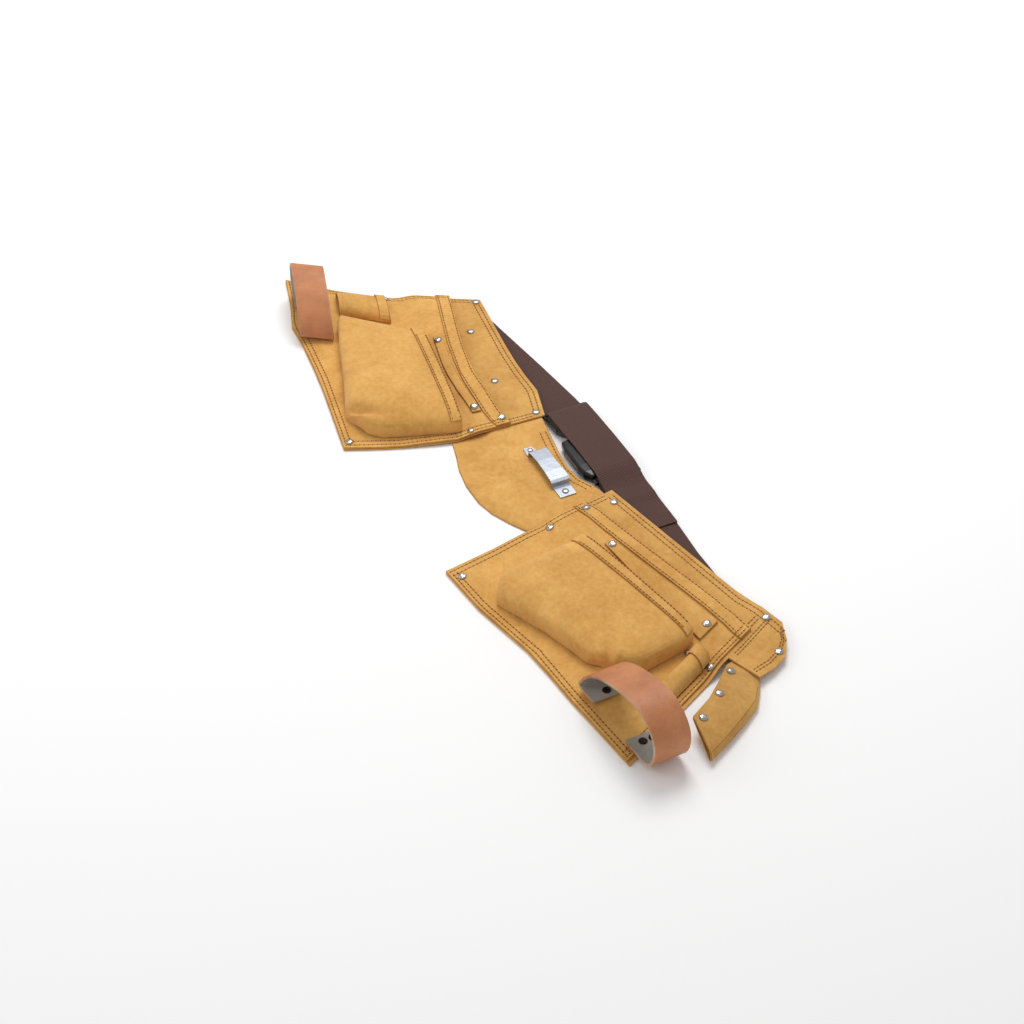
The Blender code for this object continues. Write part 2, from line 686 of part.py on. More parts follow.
def make_buckle(name, rows, frame, sign, material):
    """Buckle half with an open frame at its outer end for the webbing."""
    body = make_loft(name, [section_loop(*row) for row in rows], material)
    near, far = frame["bar"]
    middle, half, under, over = frame["middle"], frame["half"], frame["under"], frame["over"]
    bar = make_box(f"{name}_bar", (near, middle - half, under), (far, middle + half, over))
    join_by_boolean(body, bar, "UNION")
    inner_edge = rows[1][0] if sign < 0 else rows[-2][0]
    for side, word in ((-1, "left"), (1, "right")):
        low_y, high_y = sorted((middle + side * half, middle + side * frame["slot"]))
        low_x, high_x = sorted((near if sign < 0 else far, inner_edge))
        arm = make_box(f"{name}_arm_{word}", (low_x, low_y, under), (high_x, high_y, over))
        join_by_boolean(body, arm, "UNION")


def make_clip(material):
    """Bent steel strip riveted to the bib at both ends."""
    centres = []
    sides = []
    base = BIB_WAIST_UNDER + BIB_THICK + GAP + CLIP_THICK / 2
    for along, up, half, aside in CLIP_PROFILE:
        centres.append((CLIP_MIDDLE[0] + along, CLIP_MIDDLE[1] + aside, base + up))
        sides.append((0.0, half, 0.0))
    make_ribbon("tape_clip", np.array(centres), np.array(sides), CLIP_THICK, material)


def make_holder(material):
    """Sleeve folded at its right edge, one layer lying over the other."""
    rows = []
    for left_x, left_y, left_z, right_x, right_y, high in HOLDER:
        left = np.array([left_x, left_y], float)
        right = np.array([right_x, right_y], float)
        row = []
        for share in HOLDER_SHARES:
            height = left_z - HOLDER_LAYERS / 2
            row.append((*(left + (right - left) * share), height + (HOLDER_FOOT - height) * share))
        row.append((*right, (HOLDER_FOOT + high) / 2))
        for share in reversed(HOLDER_SHARES):
            height = left_z + HOLDER_LAYERS / 2
            bulge = HOLDER_BULGE * math.sin(math.pi * share)
            row.append((*(left + (right - left) * share), height + (high - height) * share + bulge))
        rows.append(row)
    make_sheet("square_holder", np.array(rows), HOLDER_THICK, material)


def surface(name):
    """Faces of a finished piece, ready to be looked down on."""
    mesh = bpy.data.objects[name].data
    mesh.calc_loop_triangles()
    corners = [vertex.co for vertex in mesh.vertices]
    return BVHTree.FromPolygons(corners, [tuple(face.vertices) for face in mesh.loop_triangles])


def height_at(piece, spot, ceiling):
    """Height of a piece's upper face under this spot in millimetres, or None beside it."""
    start = Vector((float(spot[0]) * MM, float(spot[1]) * MM, ceiling * MM))
    hit = piece.ray_cast(start, Vector((0.0, 0.0, -1.0)))[0]
    return None if hit is None else hit.z / MM


def make_rivet(name, target, spot, radius, high, material, ceiling=200.0):
    """Rivet head seated on a piece: tilted to its face and clear of every bump under the head."""
    piece = surface(target)
    samples = []
    for share in (0.0, 0.35, 0.7, 1.0):
        for k in range(2 * RIVET_SIDES):
            angle = math.pi * k / RIVET_SIDES
            offset = np.array([math.cos(angle), math.sin(angle)]) * radius * share
            height = height_at(piece, np.array(spot) + offset, ceiling)
            if height is not None:
                samples.append((1.0, *offset, height))
    samples = np.array(samples)
    level, slope_x, slope_y = np.linalg.lstsq(samples[:, :3], samples[:, 3], rcond=None)[0]
    bumps = samples[:, 3] - samples[:, :3] @ (level, slope_x, slope_y)
    seat = (float(spot[0]), float(spot[1]), level + bumps.max() + GAP)
    make_dome(name, seat, (-slope_x, -slope_y, 1.0), radius, high, material)


def make_dome(name, spot, normal, radius, high, material):
    """Rivet head: a low dome on a flat foot."""
    rings = ((1.0, 0.0), (0.96, 0.35), (0.72, 0.78), (0.36, 1.0))
    up = Vector([float(c) for c in normal]).normalized()
    aside = up.orthogonal().normalized()
    other = up.cross(aside)
    origin = Vector([float(c) for c in spot])
    points = []
    for share, rise in rings:
        for k in range(RIVET_SIDES):
            angle = 2 * math.pi * k / RIVET_SIDES
            round_it = (aside * math.cos(angle) + other * math.sin(angle)) * radius * share
            points.append(tuple(origin + round_it + up * high * rise))
    faces = []
    for i in range(len(rings) - 1):
        for j in range(RIVET_SIDES):
            k = (j + 1) % RIVET_SIDES
            low, up_ring = i * RIVET_SIDES, (i + 1) * RIVET_SIDES
            faces.append([low + j, low + k, up_ring + k, up_ring + j])
    faces.append(list(range(RIVET_SIDES))[::-1])
    last = (len(rings) - 1) * RIVET_SIDES
    faces.append(list(range(last, last + RIVET_SIDES)))
    return make_object(name, points, faces, material)


def centre_footprint():
    """Moves every mesh so that the footprint's middle is the origin."""
    shown = [item for item in bpy.data.objects if not item.hide_render]
    corners = np.array([tuple(vertex.co) for item in shown for vertex in item.data.vertices])
    middle = (corners.min(axis=0) + corners.max(axis=0)) / 2
    for item in bpy.data.objects:
        item.data.transform(Matrix.Translation((-middle[0], -middle[1], 0.0)))


def main():
    clear_scene()
    leather = make_material("split leather", (0.87, 0.65, 0.33), 0.85)
    saddle = make_material("saddle leather", (0.76, 0.51, 0.37), 0.55)
    webbing = make_material("brown webbing", (0.32, 0.21, 0.18), 0.80)
    plastic = make_material("black plastic", (0.03, 0.03, 0.035), 0.30)
    nickel = make_material("nickel rivets", (0.82, 0.82, 0.82), 0.25, 1.0)
    dark = make_material("dark rivets", (0.16, 0.10, 0.09), 0.45, 1.0)
    steel = make_material("bright steel", (0.84, 0.85, 0.86), 0.22, 1.0)

    for tag, pouch in (("a", POUCH_A), ("b", POUCH_B)):
        make_layer(f"back_panel_{tag}", panel_grid(pouch, tag == "b"), PANEL_THICK, leather)
        last = 3 + len(DOWN_REST)
        make_layer(f"main_pocket_{tag}", main_grid(pouch, 0, last, main_under), POCKET_THICK, leather)
        make_layer(f"main_pocket_hem_{tag}", main_grid(pouch, 0, 3, hem_under), HEM_THICK, leather)
        make_nail_pocket(tag, pouch, leather)
        make_strip(tag, pouch, leather)
        make_tool_loop(tag, pouch, leather)
        make_hammer_loop(tag, pouch, saddle, dark)
        for name, target, across, down, radius in pouch["rivets"]:
            make_rivet(f"rivet_{tag}_{name}", target, place(pouch, across, down), radius, RIVET_HIGH, nickel)
    make_tunnel("a", POUCH_A, 0.15, 0.86, leather)
    make_tunnel("b", POUCH_B, 0.30, 1.03, leather)
    make_bib(leather)
    make_belt(webbing)
    make_buckle("buckle_female", BUCKLE_FEMALE, FRAME_FEMALE, 1, plastic)
    make_buckle("buckle_male", BUCKLE_MALE, FRAME_MALE, -1, plastic)
    make_clip(steel)
    for name, x, y, radius in CLIP_RIVETS:
        make_rivet(f"clip_{name}", "tape_clip", (x, y), radius, 1.4, nickel)
    make_holder(leather)
    for name, x, y in HOLDER_RIVETS:
        make_rivet(f"rivet_holder_{name}", "square_holder", (x, y), RIVET_RADIUS, RIVET_HIGH, nickel)
    centre_footprint()


main()
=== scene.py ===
import math

import bmesh
import bpy
import numpy as np
from mathutils import Matrix, Vector, noise
from mathutils.bvhtree import BVHTree


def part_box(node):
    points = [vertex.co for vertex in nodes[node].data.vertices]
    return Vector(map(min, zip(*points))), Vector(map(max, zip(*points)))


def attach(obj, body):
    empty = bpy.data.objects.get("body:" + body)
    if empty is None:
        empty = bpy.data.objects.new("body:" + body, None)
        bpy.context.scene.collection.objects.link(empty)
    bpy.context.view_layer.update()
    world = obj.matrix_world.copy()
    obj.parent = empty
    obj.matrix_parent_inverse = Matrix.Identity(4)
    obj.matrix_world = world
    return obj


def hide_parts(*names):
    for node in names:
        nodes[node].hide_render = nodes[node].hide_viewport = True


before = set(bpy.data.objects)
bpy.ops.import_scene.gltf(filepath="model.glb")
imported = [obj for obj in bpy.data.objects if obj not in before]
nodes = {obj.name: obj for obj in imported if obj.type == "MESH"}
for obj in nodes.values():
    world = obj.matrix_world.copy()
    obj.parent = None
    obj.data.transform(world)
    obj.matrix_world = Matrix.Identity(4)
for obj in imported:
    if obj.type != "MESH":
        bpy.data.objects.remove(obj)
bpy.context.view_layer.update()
mm = 0.001
print("frame loaded:", len(nodes), "nodes")


# Colours and nodes


def linear(code):
    parts = [int(code[i : i + 2], 16) / 255 for i in (0, 2, 4)]
    return tuple(c / 12.92 if c <= 0.04045 else ((c + 0.055) / 1.055) ** 2.4 for c in parts) + (1.0,)


def addNode(tree, kind, inputs=None, **settings):
    node = tree.nodes.new(kind)
    for name, value in settings.items():
        setattr(node, name, value)
    for name, value in (inputs or {}).items():
        if isinstance(value, bpy.types.NodeSocket):
            tree.links.new(value, node.inputs[name])
        else:
            node.inputs[name].default_value = value
    return node


def newMaterial(name, **constants):
    material = bpy.data.materials.new(name)
    material.use_nodes = True
    shader = material.node_tree.nodes["Principled BSDF"]
    for socket, value in constants.items():
        shader.inputs[socket.replace("_", " ")].default_value = value
    return material, material.node_tree, shader


# Split leather, sanded to a nap: soft clouds where the nap lies over, short fibres, no gloss, slack folds
suede = {
    "main": "EAB563",
    "shade": "C68C3F",
    "pale": "F3C984",
    "patterns": {  # size in mm, detail, roughness
        "clouds": (45, 4, 0.65),
        "flecks": (5.3, 5, 0.7),
        "nap": (0.9, 3, 0.7),
        "folds": (38, 2, 0.45),
    },
    # pattern, the range of its noise that fades from one colour to the other
    "layers": (("clouds", 0.30, 0.72, "shade", "main"), ("flecks", 0.35, 0.75, "shade", "pale")),
    "fleckShare": 0.32,
    "reliefMm": (("folds", 4.5, 0.75), ("flecks", 0.6, 0.35), ("nap", 0.25, 0.5)),  # height, strength
}


def suedeMaterial(name, look, darker=1.0):
    material, tree, shader = newMaterial(
        name, Roughness=0.92, Specular_IOR_Level=0.18, Sheen_Weight=0.1, Sheen_Roughness=0.6
    )
    coords = addNode(tree, "ShaderNodeTexCoord").outputs["Object"]
    fields = {}
    for key, (sizeMm, detail, rough) in look["patterns"].items():
        inputs = {"Vector": coords, "Scale": 1 / (sizeMm * mm), "Detail": detail, "Roughness": rough}
        fields[key] = addNode(tree, "ShaderNodeTexNoise", inputs).outputs["Fac"]
    layers = []
    for key, low, high, dark, light in look["layers"]:
        inputs = {"Value": fields[key], "From Min": low, "From Max": high}
        spread = addNode(tree, "ShaderNodeMapRange", inputs)
        ends = [tuple(c * darker for c in linear(look[end])[:3]) + (1.0,) for end in (dark, light)]
        inputs = {"Factor": spread.outputs["Result"], 6: ends[0], 7: ends[1]}
        layers.append(addNode(tree, "ShaderNodeMix", inputs, data_type="RGBA").outputs[2])
    inputs = {"Factor": look["fleckShare"], 6: layers[0], 7: layers[1]}
    colour = addNode(tree, "ShaderNodeMix", inputs, data_type="RGBA").outputs[2]
    tree.links.new(colour, shader.inputs["Base Color"])
    bump = None
    for key, heightMm, strength in look["reliefMm"]:
        inputs = {"Height": fields[key], "Distance": heightMm * mm, "Strength": strength}
        if bump:
            inputs["Normal"] = bump.outputs["Normal"]
        bump = addNode(tree, "ShaderNodeBump", inputs)
    tree.links.new(bump.outputs["Normal"], shader.inputs["Normal"])
    return material


# Vegetable-tanned saddle leather: smooth grain with faint pores, a grey fibrous back, pale cut edges
saddle = {
    "grain": "CE8A5C",
    "grainShade": "B06E48",
    "back": "B5AFA5",
    "backShade": "8E8981",
    "edge": "C9B79C",
    "patterns": {"clouds": (33, 4, 0.6), "pores": (1.5, 4, 0.65)},  # as for suede
    "poreShare": 0.35,
}


def saddleMaterial(name, main, shade, rough, heightMm):
    material, tree, shader = newMaterial(name, Roughness=rough, Specular_IOR_Level=0.35)
    coords = addNode(tree, "ShaderNodeTexCoord").outputs["Object"]
    fields = {}
    for key, (sizeMm, detail, grit) in saddle["patterns"].items():
        inputs = {"Vector": coords, "Scale": 1 / (sizeMm * mm), "Detail": detail, "Roughness": grit}
        fields[key] = addNode(tree, "ShaderNodeTexNoise", inputs).outputs["Fac"]
    inputs = {"Factor": saddle["poreShare"], 2: fields["clouds"], 3: fields["pores"]}
    both = addNode(tree, "ShaderNodeMix", inputs)
    inputs = {"Value": both.outputs[0], "From Min": 0.36, "From Max": 0.66}
    spread = addNode(tree, "ShaderNodeMapRange", inputs)
    inputs = {"Factor": spread.outputs["Result"], 6: linear(saddle[shade]), 7: linear(saddle[main])}
    colour = addNode(tree, "ShaderNodeMix", inputs, data_type="RGBA").outputs[2]
    tree.links.new(colour, shader.inputs["Base Color"])
    inputs = {"Height": fields["pores"], "Distance": heightMm * mm, "Strength": 0.4}
    tree.links.new(addNode(tree, "ShaderNodeBump", inputs).outputs["Normal"], shader.inputs["Normal"])
    return material


# Woven polyester strap: ribs across it and columns of yarn along it, with a dull fuzz
web = {
    "yarn": "71463A",
    # painted shade: the colour that the weave's hollows take, darker where the weave sinks
    "hollowShade": "35201A",
    "ribMm": 1.9,
    "columnMm": 2.6,  # both drawn about twice as coarse as real yarn, so that they show
    "fuzzMm": 1.1,
    "fuzzShare": 0.35,
    "depthMm": 0.7,
    "turnDeg": -3.0,
}


def webbingMaterial(look):
    material, tree, shader = newMaterial("woven polyester webbing", Roughness=0.75, Sheen_Weight=0.04)
    coords = addNode(tree, "ShaderNodeTexCoord").outputs["Object"]
    inputs = {"Vector": coords, "Rotation": (0, 0, math.radians(look["turnDeg"]))}
    turned = addNode(tree, "ShaderNodeMapping", inputs)
    xyz = addNode(tree, "ShaderNodeSeparateXYZ", {"Vector": turned.outputs["Vector"]})
    waves = []
    for axis, sizeMm, low in (("X", look["ribMm"], 0.0), ("Y", look["columnMm"], 0.2)):
        inputs = {0: xyz.outputs[axis], 1: 2 * math.pi / (sizeMm * mm)}
        phase = addNode(tree, "ShaderNodeMath", inputs, operation="MULTIPLY").outputs[0]
        sine = addNode(tree, "ShaderNodeMath", {0: phase}, operation="SINE").outputs[0]
        inputs = {"Value": sine, "From Min": -1.0, "From Max": 1.0, "To Min": low, "To Max": 1.0}
        waves.append(addNode(tree, "ShaderNodeMapRange", inputs).outputs["Result"])
    inputs = {0: waves[0], 1: waves[1]}
    weave = addNode(tree, "ShaderNodeMath", inputs, operation="MULTIPLY").outputs[0]
    inputs = {"Vector": coords, "Scale": 1 / (look["fuzzMm"] * mm), "Detail": 3, "Roughness": 0.7}
    fuzz = addNode(tree, "ShaderNodeTexNoise", inputs).outputs["Fac"]
    inputs = {0: fuzz, 1: look["fuzzShare"], 2: weave}
    height = addNode(tree, "ShaderNodeMath", inputs, operation="MULTIPLY_ADD").outputs[0]
    # Low parts of the weave take the hollow colour: painted shade between the yarns
    spread = addNode(tree, "ShaderNodeMapRange", {"Value": height, "From Min": 0.15, "From Max": 1.05})
    inputs = {"Factor": spread.outputs["Result"], 6: linear(look["hollowShade"]), 7: linear(look["yarn"])}
    colour = addNode(tree, "ShaderNodeMix", inputs, data_type="RGBA").outputs[2]
    tree.links.new(colour, shader.inputs["Base Color"])
    inputs = {"Height": height, "Distance": look["depthMm"] * mm, "Strength": 0.8}
    tree.links.new(addNode(tree, "ShaderNodeBump", inputs).outputs["Normal"], shader.inputs["Normal"])
    return material


def plainMaterial(name, code, rough, metal=0.0, grainMm=None, heightMm=0.0):
    material, tree, shader = newMaterial(name, Base_Color=linear(code), Roughness=rough, Metallic=metal)
    if grainMm:
        coords = addNode(tree, "ShaderNodeTexCoord").outputs["Object"]
        inputs = {"Vector": coords, "Scale": 1 / (grainMm * mm), "Detail": 3, "Roughness": 0.6}
        field = addNode(tree, "ShaderNodeTexNoise", inputs).outputs["Fac"]
        inputs = {"Height": field, "Distance": heightMm * mm, "Strength": 0.6}
        tree.links.new(addNode(tree, "ShaderNodeBump", inputs).outputs["Normal"], shader.inputs["Normal"])
    return material


coarseFolds = dict(suede["patterns"], folds=(26, 2, 0.45))
cutTones = {"main": "BD8440", "shade": "98642A", "pale": "C8914C"}

# Matt golden tan, lighter where the nap lies flat
suedeFace = suedeMaterial("split leather, napped face", suede)
# A little darker, with closer folds, so that the panels part from the pockets
suedeBack = suedeMaterial("split leather, coarse nap", dict(suede, patterns=coarseFolds), darker=0.93)
# Darker all over: painted shade for the holder's tilt away from the light
suedeHolderPaintedShade = suedeMaterial("split leather, painted shade", suede, darker=0.84)
# A brown line that draws every cut edge
suedeCut = suedeMaterial("split leather, cut edge", dict(suede, **cutTones))
# Reddish tan with a soft sheen, smoother than the suede
grain = saddleMaterial("saddle leather, grain side", "grain", "grainShade", rough=0.5, heightMm=0.15)
# Dull grey fibres inside the loops
fleshSide = saddleMaterial("saddle leather, flesh side", "back", "backShade", rough=0.9, heightMm=0.3)
# A pale rim that shows how thick the loops are
loopEdge = saddleMaterial("saddle leather, cut edge", "edge", "grainShade", rough=0.8, heightMm=0.2)
# Dull brown with fine ribs across the strap
webbing = webbingMaterial(web)
# Glossy black with faint flow marks
plastic = plainMaterial("black acetal, moulded", "0B0B0C", rough=0.28, grainMm=2.0, heightMm=0.04)
# Bright and slightly hammered
nickel = plainMaterial("nickel plate, polished", "B4B3AE", rough=0.24, metal=1.0, grainMm=3.8, heightMm=0.5)
# Near black with a dull glint
bronze = plainMaterial("bronzed steel, dull", "2A1A16", rough=0.55, metal=0.6)
# Bluish white with blurred highlights
zinc = plainMaterial("zinc plate, bright", "AEB4BE", rough=0.36, metal=0.8, grainMm=8.0, heightMm=0.3)
# A little darker than the leather it lies on
thread = plainMaterial("waxed thread, tan", "A8743F", rough=0.7)
# Reads as the shadow in each hole
needleHole = plainMaterial("needle hole, dark", "6B3D14", rough=0.95)
print("materials made")


# Finer copies of the leather pieces: welded, edges rounded, cut edges darker
leatherLook = {"weldMm": 0.01, "bevelMm": 0.65, "bevelCuts": 3, "sharpDeg": 38.0, "edgeSlot": 1}


def leatherCopy(name, materials, settings):
    mesh = bpy.data.meshes.new(name + "_leather")
    bm = bmesh.new()
    bm.from_mesh(nodes[name].data)
    bmesh.ops.remove_doubles(bm, verts=bm.verts[:], dist=settings["weldMm"] * mm)
    bmesh.ops.recalc_face_normals(bm, faces=bm.faces[:])
    bm.to_mesh(mesh)
    bm.free()
    for material in materials:
        mesh.materials.append(material)
    mesh.shade_smooth()
    mesh.set_sharp_from_angle(angle=math.radians(settings["sharpDeg"]))
    copy = bpy.data.objects.new(name + "_leather", mesh)
    bpy.context.scene.collection.objects.link(copy)
    bevel = copy.modifiers.new("rounded edges", "BEVEL")
    bevel.width = settings["bevelMm"] * mm
    bevel.segments = settings["bevelCuts"]
    bevel.limit_method = "ANGLE"
    bevel.angle_limit = math.radians(settings["sharpDeg"])
    bevel.harden_normals = True
    bevel.material = settings["edgeSlot"]
    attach(copy, "root")
    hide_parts(name)
    return copy


# Pinched corners of the nail pockets: a crease between two soft rises
pinches = {
    "nail_pocket_a": {"atMm": (-158.0, -112.5), "reachMm": 14.0, "deepMm": 12.0, "creaseDeg": 40.0},
    "nail_pocket_b": {"atMm": (313.0, -45.0), "reachMm": 15.0, "deepMm": 10.0, "creaseDeg": 150.0},
}
pinchShape = {"zone": 2.4, "cuts": 3, "along": 0.8, "crease": 2.6, "rise": 1.2, "riseShare": 0.35}


def pinch(piece, settings):
    bm = bmesh.new()
    bm.from_mesh(piece.data)
    x, y = (value * mm for value in settings["atMm"])
    reach, turn = settings["reachMm"] * mm, math.radians(settings["creaseDeg"])
    zone = reach * pinchShape["zone"]
    near = {v for v in bm.verts if math.hypot(v.co.x - x, v.co.y - y) < zone}
    edges = [e for e in bm.edges if near.intersection(e.verts)]
    bmesh.ops.subdivide_edges(bm, edges=edges, cuts=pinchShape["cuts"], use_grid_fill=True)
    for v in bm.verts:
        dx, dy = v.co.x - x, v.co.y - y
        along = (dx * math.cos(turn) + dy * math.sin(turn)) / reach
        aside = (dy * math.cos(turn) - dx * math.sin(turn)) / reach
        crease = math.exp(-((aside * pinchShape["crease"]) ** 2))
        rises = pinchShape["riseShare"] * math.exp(-((aside * pinchShape["rise"]) ** 2))
        fade = math.exp(-((along * pinchShape["along"]) ** 2))
        v.co.z -= fade * (crease - rises) * settings["deepMm"] * mm
    bm.to_mesh(piece.data)
    bm.free()


leatherStarts = ("back", "main", "nail", "slot", "tool", "bib", "square")
leatherNames = [nodeName for nodeName in nodes if nodeName.split("_")[0] in leatherStarts]
for nodeName in leatherNames:
    face = suedeFace
    # The square holder gets the darker suede, painted shade for its tilt away from the light
    if nodeName == "square_holder":
        face = suedeHolderPaintedShade
    elif nodeName.startswith("back"):
        face = suedeBack
    piece = leatherCopy(nodeName, (face, suedeCut), leatherLook)
    if nodeName in pinches:
        pinch(piece, pinches[nodeName])
print("leather pieces dressed:", len(leatherNames))


# Hammer loops: grain side out, grey flesh side in, pale cut edges
loopLook = dict(leatherLook, bevelMm=0.6, bevelCuts=2, edgeSlot=2, fleshSlot=1, rimBelow=0.5)
loopRunDeg = {"hammer_loop_a": 165.0, "hammer_loop_b": 5.5}  # the way each strap runs over the floor


def dressLoop(name):
    piece = leatherCopy(name, (grain, fleshSide, loopEdge), loopLook)
    low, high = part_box(name)
    middle = (low + high) / 2
    run, rim = math.radians(loopRunDeg[name]), loopLook["rimBelow"]
    along = Vector((math.cos(run), math.sin(run), 0.0))
    for face in piece.data.polygons:
        outward = face.center - middle
        reach = along * outward.dot(along) + Vector((0.0, 0.0, outward.z))
        if abs(face.normal.z) < rim and abs(face.normal.dot(along)) < rim:
            face.material_index = loopLook["edgeSlot"]
        elif face.normal.dot(reach) < 0:
            face.material_index = loopLook["fleshSlot"]


for nodeName in loopRunDeg:
    dressLoop(nodeName)
print("hammer loops dressed")


# Metal, plastic and webbing keep their CAD shape
for nodeName, node in nodes.items():
    if nodeName == "belt":
        finish = webbing
    elif nodeName.startswith("belt_tunnel"):
        finish = suedeFace
    elif nodeName.startswith("buckle"):
        finish = plastic
    elif nodeName == "tape_clip":
        finish = zinc
    elif "hammer_" in nodeName:
        finish = bronze
    elif "rivet" in nodeName or nodeName == "clip_eyelet":
        finish = nickel
    else:
        continue
    node.data.materials.clear()
    node.data.materials.append(finish)
print("metal, plastic and webbing dressed")


# Stitching: rows of raised stitches with a dark needle hole between them
stitch = {
    "pitchMm": 4.9,
    "longMm": 2.9,
    "thickMm": 1.45,
    "holeMm": 2.1,
    "holeSides": 7,
    "sinkMm": 0.1,
    "holeLiftMm": 0.06,
    "stepMm": 3.5,  # a stitch is left out where the leather steps up or down by more
    "holeStepMm": 1.0,  # and a hole where it lies this far above or below its stitch
    "wobbleAt": 700,  # noise scale per metre
    "wobble": 0.12,
    "rise": 0.42,  # half height as a share of the thickness
}

# Corners in mm; the other lines are shares across and down a pouch, as in the part's own sheets
pouchA = {
    "corners": ((-72, -5), (-304, 22), (-448, -173), (-114, -230)),
    "waist": ((0.0, 0.0), (0.2, -0.03), (0.35, -0.01), (0.5, 0.0), (1.0, 0.0)),
    "edges": (
        (0.0, 0.0, 1.0),
        (0.25, -0.033, 0.97),
        (0.47, -0.05, 0.95),
        (0.75, -0.02, 0.965),
        (1.0, 0.02, 1.01),
    ),
    "mouth": (
        (0.0, 0.18),
        (0.07, 0.21),
        (0.2, 0.235),
        (0.37, 0.25),
        (0.59, 0.23),
        (0.92, 0.175),
        (1.0, 0.16),
    ),
    "foot": ((0.0, 1.0), (0.4, 1.0), (0.6, 1.02), (0.72, 1.045), (0.85, 1.01), (1.0, 0.99)),
    "nail": ((-0.01, 0.42, 0.60, 0.41), (-0.0072, 0.475, 0.6222, 0.469)),
    "waistEnd": 0.985,
}
pouchB = {
    "corners": ((76, 3), (318, 54), (434, -168), (112, -210)),
    "waist": ((0.0, 0.0), (0.85, 0.0), (0.95, -0.02), (1.09, -0.025), (1.2, 0.0)),
    "edges": ((0.0, 0.0, 1.0), (1.0, 0.0, 1.0)),
    "mouth": ((0.0, 0.165), (0.2, 0.175), (0.45, 0.16), (0.7, 0.14), (1.0, 0.125)),
    "foot": ((0.0, 1.0), (0.2, 1.005), (0.48, 0.965), (0.7, 0.98), (1.0, 0.985)),
    "nail": ((0.205, 0.385, 0.862, 0.37), (0.1977, 0.4455, 0.8642, 0.4103)),
    "waistEnd": 1.15,
    "bandEnd": ((0.02, 1.10), (0.06, 1.145), (0.10, 1.165), (0.18, 1.163), (0.26, 1.145)),
    "bandSeam": ((0.02, 1.03), (0.26, 1.035)),
}
waistZone = 0.335  # share of the depth over which the waist's curve fades out
bibEdge = {
    "top": ((-50, -12), (-30, -15), (-5, -19), (20, -21), (42, -18), (58, -10)),
    "bottom": ((-56, -122), (-33, -129), (-5, -133), (25, -132.5), (48, -127), (70, -117)),
    "rows": (0.035, 0.095),
}
origin = np.array([9.45, -82.65])  # footprint's middle, in the pouches' own millimetres


def lookUp(rows, at, column=1):
    return float(np.interp(at, [row[0] for row in rows], [row[column] for row in rows]))


def ease(value):
    value = min(max(value, 0.0), 1.0)
    return value * value * (3 - 2 * value)


def spot(pouch, share, down):
    inner, outer = lookUp(pouch["edges"], down, 1), lookUp(pouch["edges"], down, 2)
    across = inner + (outer - inner) * share
    waistIn, waistOut, footOut, footIn = (np.array(c, float) for c in pouch["corners"])
    down = down * (1 + (lookUp(pouch["foot"], across) - 1) * ease(down))
    down = down + lookUp(pouch["waist"], across) * (1 - ease(down / waistZone))
    top = waistIn * (1 - across) + waistOut * across
    bottom = footIn * (1 - across) + footOut * across
    return top * (1 - down) + bottom * down - origin


def surfaceOf(names):
    trees = []
    for name in names:
        mesh = nodes[name].data
        mesh.calc_loop_triangles()
        faces = [tuple(face.vertices) for face in mesh.loop_triangles]
        trees.append(BVHTree.FromPolygons([v.co for v in mesh.vertices], faces))
    return trees


def topHit(trees, x, y, ceiling=0.2):
    best = None
    for tree in trees:
        place, normal, _, _ = tree.ray_cast(Vector((x, y, ceiling)), Vector((0, 0, -1)))
        if place is not None and (best is None or place.z > best[0].z):
            best = (place, normal if normal.z > 0 else -normal)
    return best


def facesOf(made):
    return {face for vert in made["verts"] for face in vert.link_faces}


def sewRow(bm, trees, path, settings):
    pitch, thick = settings["pitchMm"] * mm, settings["thickMm"] * mm
    stitchSize = (settings["longMm"] / 2 * mm, thick / 2, thick * settings["rise"], 1.0)
    points = [Vector((x * mm, y * mm, 0.0)) for x, y in path]
    lengths = [0.0]
    for a, b in zip(points, points[1:]):
        lengths.append(lengths[-1] + (b - a).length)
    count = max(int(lengths[-1] / pitch), 1)
    last = None
    for i in range(count):
        at = (i + 0.5) / count * lengths[-1]
        k = max(j for j in range(len(points) - 1) if lengths[j] <= at)
        heading = (points[k + 1] - points[k]).normalized()
        here = points[k] + heading * (at - lengths[k])
        hit = topHit(trees, here.x, here.y)
        before, last = last, None if hit is None else hit[0].z
        if hit is None or (before is not None and abs(last - before) > settings["stepMm"] * mm):
            continue
        place, up = hit[0], hit[1].normalized()
        along = (heading - up * heading.dot(up)).normalized()
        turn = Matrix((along, up.cross(along), up)).transposed().to_4x4()
        twist = noise.noise(place * settings["wobbleAt"]) * settings["wobble"]
        lie = Matrix.Translation(place - up * settings["sinkMm"] * mm) @ turn
        lie = lie @ Matrix.Rotation(twist, 4, "Z") @ Matrix.Diagonal(stitchSize)
        for face in facesOf(bmesh.ops.create_icosphere(bm, subdivisions=1, radius=1.0, matrix=lie)):
            face.smooth = True
        nextTo = place + along * pitch / 2
        pit = topHit(trees, nextTo.x, nextTo.y)
        if pit is None or abs(pit[0].z - place.z) > settings["holeStepMm"] * mm:
            continue
        hole = {"cap_ends": True, "segments": settings["holeSides"], "radius": settings["holeMm"] / 2 * mm}
        hole["matrix"] = Matrix.Translation(pit[0] + up * settings["holeLiftMm"] * mm) @ turn
        for face in facesOf(bmesh.ops.create_circle(bm, **hole)):
            face.material_index = 1  # needle hole


def stitching(name, rows, settings):
    mesh = bpy.data.meshes.new(name)
    bm = bmesh.new()
    for names, path in rows:
        sewRow(bm, surfaceOf(names), path, settings)
    bm.to_mesh(mesh)
    bm.free()
    mesh.materials.append(thread)
    mesh.materials.append(needleHole)
    piece = bpy.data.objects.new(name, mesh)
    bpy.context.scene.collection.objects.link(piece)
    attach(piece, "root")
    print(name, len(mesh.polygons), "faces")


